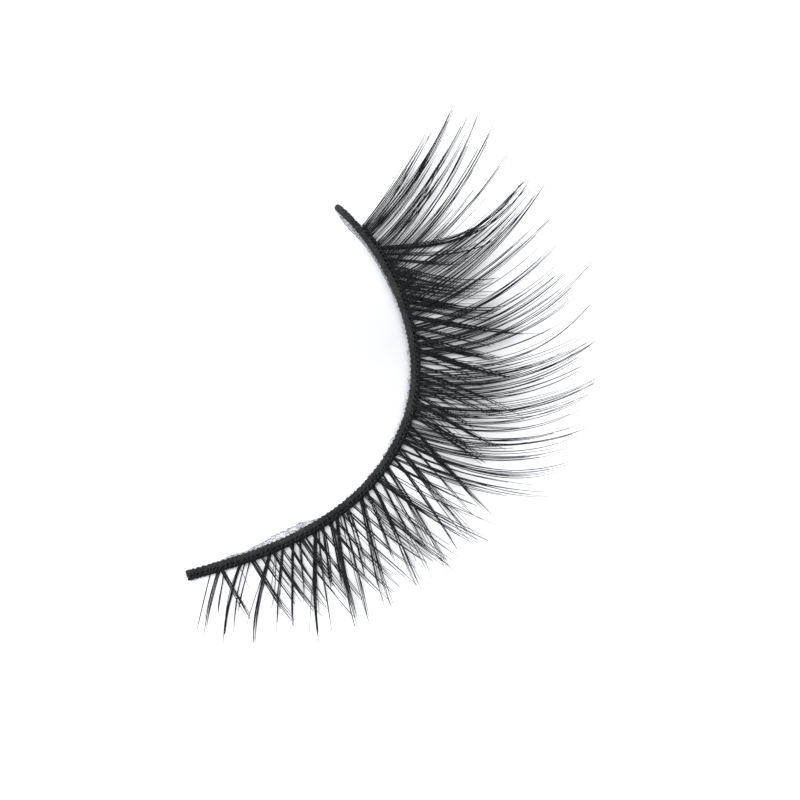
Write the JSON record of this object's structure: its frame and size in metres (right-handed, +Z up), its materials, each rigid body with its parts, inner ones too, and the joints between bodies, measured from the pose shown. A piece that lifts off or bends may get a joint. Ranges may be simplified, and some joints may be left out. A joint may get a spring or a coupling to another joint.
{
  "type": "false eyelash strip",
  "caption": "Curved strip of false eyelashes: a thin knotted band that lies flat, with long locks sweeping outwards and curling up over a row of shorter crossing locks.",
  "frame": {"origin": "middle of the cotton band's underside, half way along its length, on the surface that the strip lies on", "axes": "+X along the band's chord from the inner corner of the eye to the outer corner, +Y towards the eyeball side of the curve, away from the lash tips, +Z up, the way the lashes curl"},
  "size_m": [0.0399, 0.0215, 0.0047],
  "materials": {
    "black_cotton": "matt knotted black cotton thread",
    "black_fibre": "fine near-black synthetic hair with a soft sheen",
    "clear_glue": "clear dried lash glue, wrinkled and glossy"
  },
  "bodies": {
    "root": {"cotton_band": "black_cotton", "cross_lash_fringe": "black_fibre", "long_lash_fringe": "black_fibre", "inner_glue_film": "clear_glue", "outer_glue_film": "clear_glue"}
  },
  "joints": []
}
